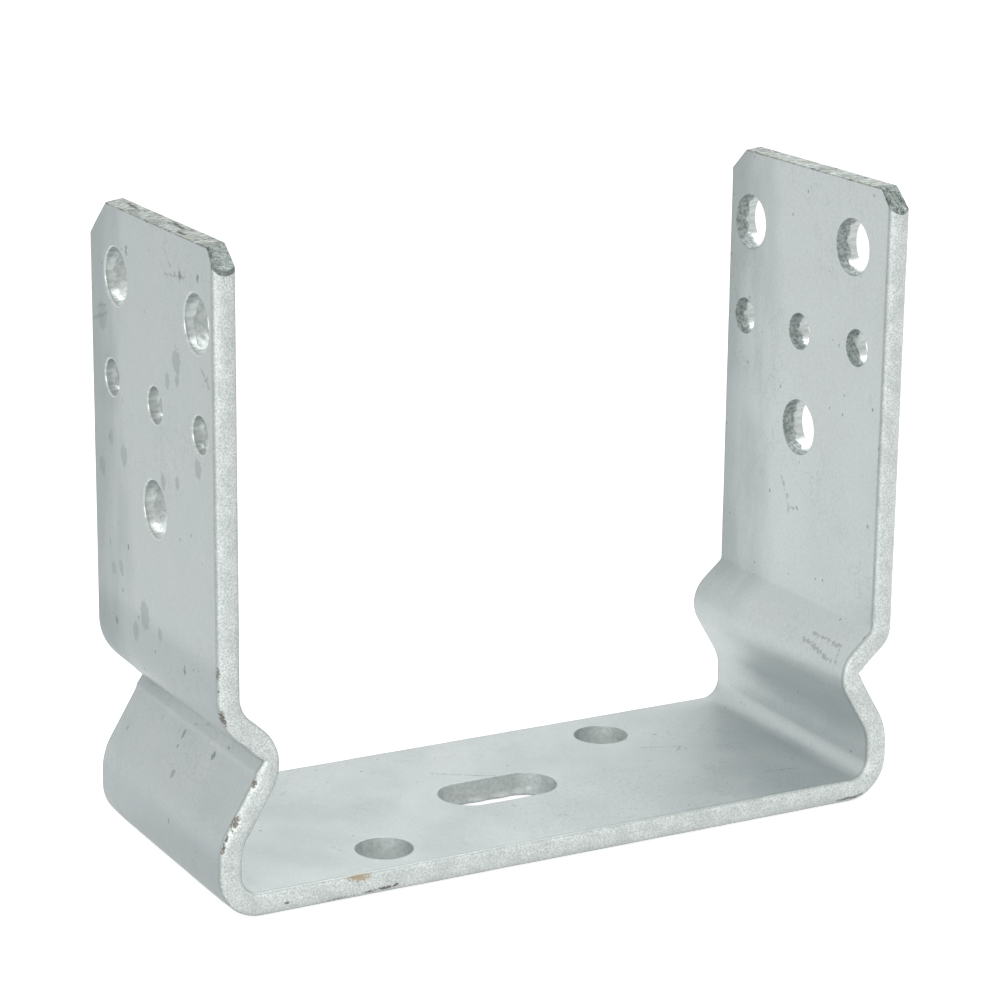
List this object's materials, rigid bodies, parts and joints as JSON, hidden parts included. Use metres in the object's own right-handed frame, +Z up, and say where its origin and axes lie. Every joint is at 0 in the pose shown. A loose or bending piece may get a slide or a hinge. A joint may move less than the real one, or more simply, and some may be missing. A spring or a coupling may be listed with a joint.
{
  "type": "u bracket",
  "caption": "U-shaped bracket of flat galvanised bar that holds a square timber post between two stepped legs, with punched holes and a slot.",
  "frame": {"origin": "underside of the base, half way between the legs and half way across the bar", "axes": "+X along the base from the left leg to the right, +Y across the bar to its back edge, +Z up the legs"},
  "size_m": [0.151, 0.06, 0.129],
  "materials": {
    "zinc_steel": "hot-dip galvanised, dull grey"
  },
  "bodies": {
    "root": {"u_bracket": "zinc_steel"}
  },
  "joints": []
}
